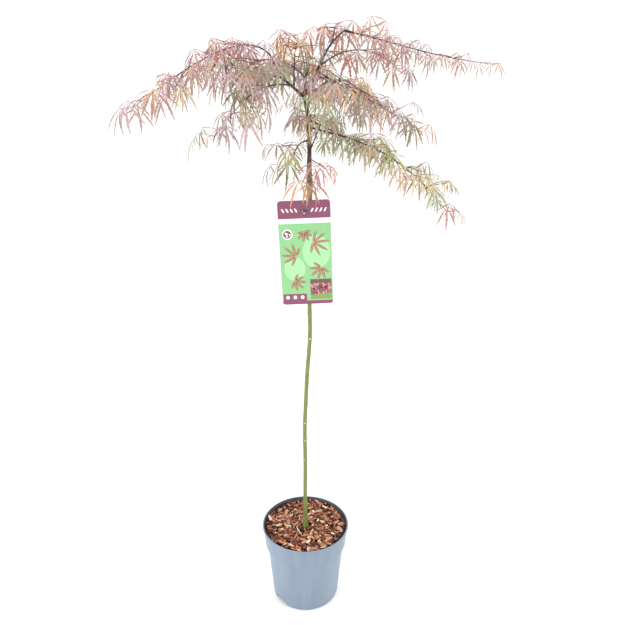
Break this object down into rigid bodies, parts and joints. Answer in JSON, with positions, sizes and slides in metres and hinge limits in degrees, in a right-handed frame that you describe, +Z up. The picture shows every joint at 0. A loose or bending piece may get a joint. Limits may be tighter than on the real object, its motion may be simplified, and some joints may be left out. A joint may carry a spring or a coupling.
{
  "type": "potted weeping maple",
  "caption": "Young weeping maple on a tall clear stem, with arching boughs and finely cut hanging leaves, standing in a round nursery pot of bark mulch.",
  "frame": {"origin": "middle of the pot's flat underside", "axes": "+Z up along the trunk, +X to the right and +Y to the back as the plant is seen from its front"},
  "size_m": [0.6858, 0.4923, 1.1926],
  "materials": {
    "pot_plastic": "satin, moulded",
    "bark_mulch": "rough, loose bark chips",
    "green_bark": "smooth young bark",
    "dark_bark": "smooth dark twig bark",
    "label_card": "printed plastic sheet",
    "tie_plastic": "soft plastic",
    "leaf_rose": "matte leaf",
    "leaf_salmon": "matte leaf",
    "leaf_orange": "matte leaf",
    "leaf_bronze": "matte leaf",
    "leaf_olive": "matte leaf"
  },
  "bodies": {
    "root": {"pot": "pot_plastic", "filling": "bark_mulch", "trunk": "green_bark", "label": "label_card", "label_tie": "tie_plastic", "left_main": "dark_bark", "right_main": "dark_bark", "back_main": "dark_bark", "top_right_bough": "dark_bark", "top_left_bough": "dark_bark", "left_far_bough": "dark_bark", "left_upper_bough": "dark_bark", "left_low_bough": "dark_bark", "right_far_bough": "dark_bark", "right_upper_bough": "dark_bark", "right_mid_bough": "dark_bark", "back_left_bough": "dark_bark", "back_bough": "dark_bark", "back_right_bough": "dark_bark", "front_left_bough": "dark_bark", "front_right_bough": "dark_bark", "top_front_bough": "dark_bark", "right_long_bough": "dark_bark", "right_low_bough": "dark_bark", "back_low_bough": "dark_bark", "inner_right_bough": "dark_bark", "low_left_bough": "dark_bark", "low_front_bough": "dark_bark", "top_right_leaves": "leaf_salmon", "top_left_leaves": "leaf_orange", "left_far_leaves": "leaf_rose", "left_upper_leaves": "leaf_rose", "left_low_leaves": "leaf_bronze", "right_far_leaves": "leaf_salmon", "right_upper_leaves": "leaf_salmon", "right_mid_leaves": "leaf_bronze", "back_left_leaves": "leaf_bronze", "back_leaves": "leaf_rose", "back_right_leaves": "leaf_olive", "front_left_leaves": "leaf_bronze", "front_right_leaves": "leaf_bronze", "top_front_leaves": "leaf_olive", "right_long_leaves": "leaf_olive", "right_low_leaves": "leaf_olive", "back_low_leaves": "leaf_olive", "inner_right_leaves": "leaf_olive", "low_left_leaves": "leaf_olive", "low_front_leaves": "leaf_salmon"}
  },
  "joints": []
}
